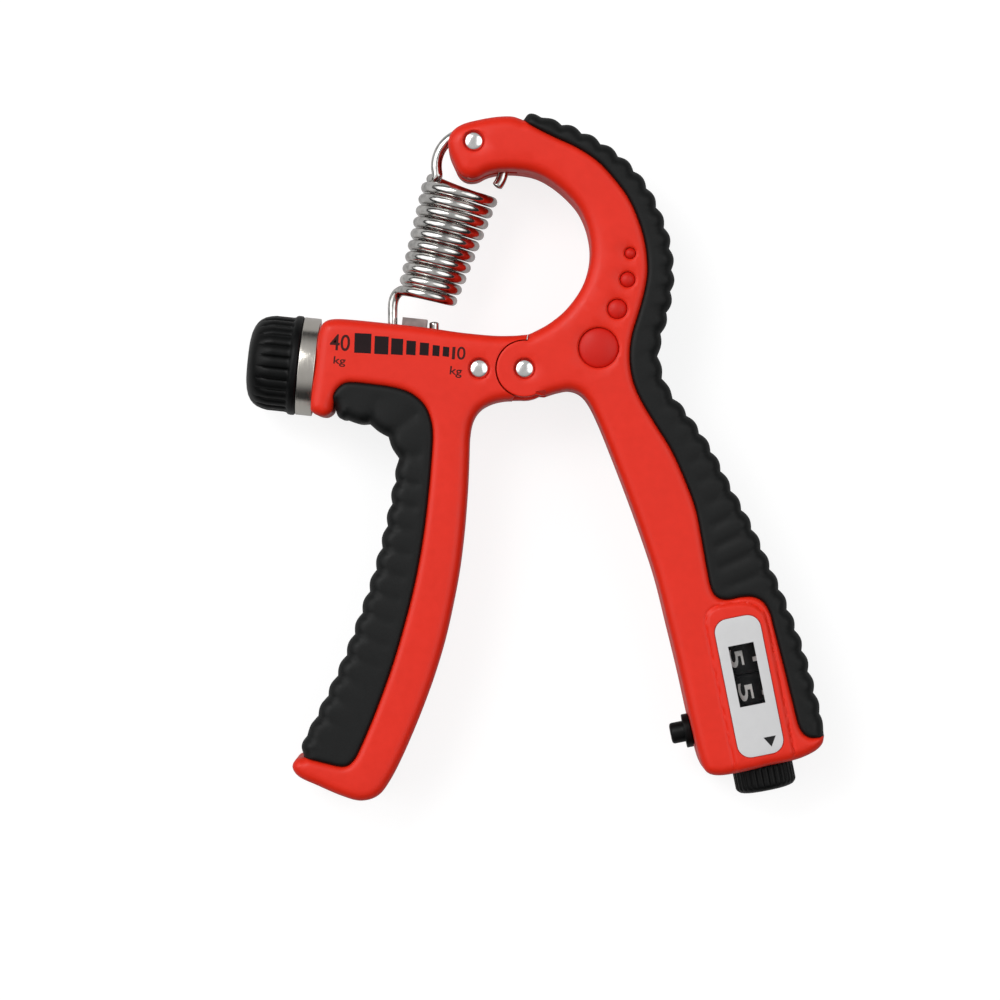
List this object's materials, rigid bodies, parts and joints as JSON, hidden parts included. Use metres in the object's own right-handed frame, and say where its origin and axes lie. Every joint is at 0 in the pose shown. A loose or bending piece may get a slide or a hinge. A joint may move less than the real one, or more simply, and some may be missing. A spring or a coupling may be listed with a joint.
{
  "type": "hand grip strengthener",
  "caption": "Red and black hand grip exerciser: two pivoted handles, an extension spring set by a side knob, and a squeeze counter in one handle.",
  "frame": {"origin": "under the middle of the whole outline, on the plane of the back faces; the grip lies flat on its back", "axes": "+X to the right in the picture, across the two handles; +Y up in the picture, from the handles' ends towards the spring and the hoop; +Z out of the front face with the counter's window"},
  "size_m": [0.1303, 0.1546, 0.0244],
  "materials": {
    "red_shell": "satin moulded",
    "red_back": "satin moulded",
    "black_rubber": "soft matte",
    "bright_steel": "bright plated",
    "turned_steel": "turned",
    "zinc_steel": "zinc plated",
    "bush_brass": "plain",
    "black_plastic": "fine texture",
    "wheel_plastic": "plain",
    "inner_plastic": "plain",
    "label_white": "smooth",
    "window_glass": "clear acrylic"
  },
  "bodies": {
    "right_arm": {"right_shell_front": "red_shell", "right_shell_back": "red_back", "right_grip": "black_rubber", "tip_rivet": "bright_steel", "pivot_rivet": "bright_steel", "right_shell_screws": "zinc_steel", "counter_frame": "inner_plastic", "counter_axle": "turned_steel", "counter_label": "label_white", "window_lens": "window_glass", "pin_sleeve": "black_plastic", "pin_spring": "zinc_steel", "reset_spring": "zinc_steel"},
    "left_arm": {"left_shell_front": "red_shell", "left_shell_back": "red_back", "left_grip": "black_rubber", "left_rivet": "bright_steel", "left_shell_screws": "zinc_steel", "pivot_bush": "bush_brass", "knob_collar": "turned_steel", "screw_bush": "bush_brass", "end_bush": "bush_brass"},
    "adjuster": {"knob": "black_plastic", "lead_screw": "turned_steel", "screw_clip": "zinc_steel"},
    "carriage": {"carriage_nut": "bush_brass", "hook_block": "turned_steel"},
    "tip_roller_body": {"tip_roller": "turned_steel", "tip_washers": "zinc_steel"},
    "spring_body": {"spring": "bright_steel"},
    "push_pin": {"counter_pin": "black_plastic", "drive_pawl": "zinc_steel"},
    "units": {"units_wheel": "wheel_plastic"},
    "tens": {"tens_wheel": "wheel_plastic"},
    "carry": {"carry_pinion": "inner_plastic"},
    "reset_slider": {"reset_collar": "zinc_steel"},
    "reset_dial": {"reset_knob": "black_plastic", "reset_shaft": "turned_steel"}
  },
  "joints": [
    {"name": "squeeze", "type": "hinge", "parent": "right_arm", "child": "left_arm", "pos_m": [-0.0026, 0.0198, 0.012], "axis": [0, 0, 1], "range_deg": [0, 36], "stiffness_Nm_per_rad": 12, "springref_deg": -5.73},
    {"name": "knob_turn", "type": "hinge", "parent": "left_arm", "child": "adjuster", "pos_m": [-0.0536, 0.0208, 0.012], "axis": [-0.9945, 0.1045, 0], "range_deg": [-1892, 1442]},
    {"name": "carriage_slide", "type": "slide", "parent": "left_arm", "child": "carriage", "axis": [0.9945, -0.1045, 0], "range_m": [-0.0105, 0.008]},
    {"name": "hook_trim", "type": "hinge", "parent": "right_arm", "child": "tip_roller_body", "pos_m": [-0.014, 0.0709, 0.012], "axis": [0, 0, 1], "range_deg": [-13, 10]},
    {"name": "spring_stretch", "type": "slide", "parent": "tip_roller_body", "child": "spring_body", "axis": [0.0233, -0.9997, 0], "range_m": [-0.0003, 0.0166], "deforming": ["spring"]},
    {"name": "counter_press", "type": "slide", "parent": "right_arm", "child": "push_pin", "axis": [0.9806, 0.1959, 0], "range_m": [0, 0.0028], "stiffness_N_per_m": 200, "springref_m": -0.005, "deforming": ["pin_spring"]},
    {"name": "units_turn", "type": "hinge", "parent": "right_arm", "child": "units", "pos_m": [0.04465, -0.036, 0.012], "axis": [0.1959, -0.9806, 0], "continuous": true},
    {"name": "tens_turn", "type": "hinge", "parent": "right_arm", "child": "tens", "pos_m": [0.04465, -0.036, 0.012], "axis": [0.1959, -0.9806, 0], "continuous": true},
    {"name": "carry_turn", "type": "hinge", "parent": "right_arm", "child": "carry", "pos_m": [0.05132, -0.03467, 0.0046], "axis": [0.1959, -0.9806, 0], "continuous": true},
    {"name": "reset_push", "type": "slide", "parent": "right_arm", "child": "reset_slider", "axis": [-0.1959, 0.9806, 0], "range_m": [0, 0.0015], "stiffness_N_per_m": 300, "springref_m": -0.004, "deforming": ["reset_spring"]},
    {"name": "reset_turn", "type": "hinge", "parent": "reset_slider", "child": "reset_dial", "pos_m": [0.04465, -0.036, 0.012], "axis": [0.1959, -0.9806, 0], "continuous": true}
  ],
  "couplings": [
    {"joint": "knob_turn", "follows": "carriage_slide", "rad_per_m": 3141.6},
    {"joint": "hook_trim", "follows": "carriage_slide", "rad_per_m": 21.05},
    {"joint": "spring_stretch", "follows": "squeeze", "m_per_rad": 0.025849},
    {"joint": "tens_turn", "follows": "units_turn", "ratio": 0.1},
    {"joint": "carry_turn", "follows": "units_turn", "ratio": -0.25}
  ]
}
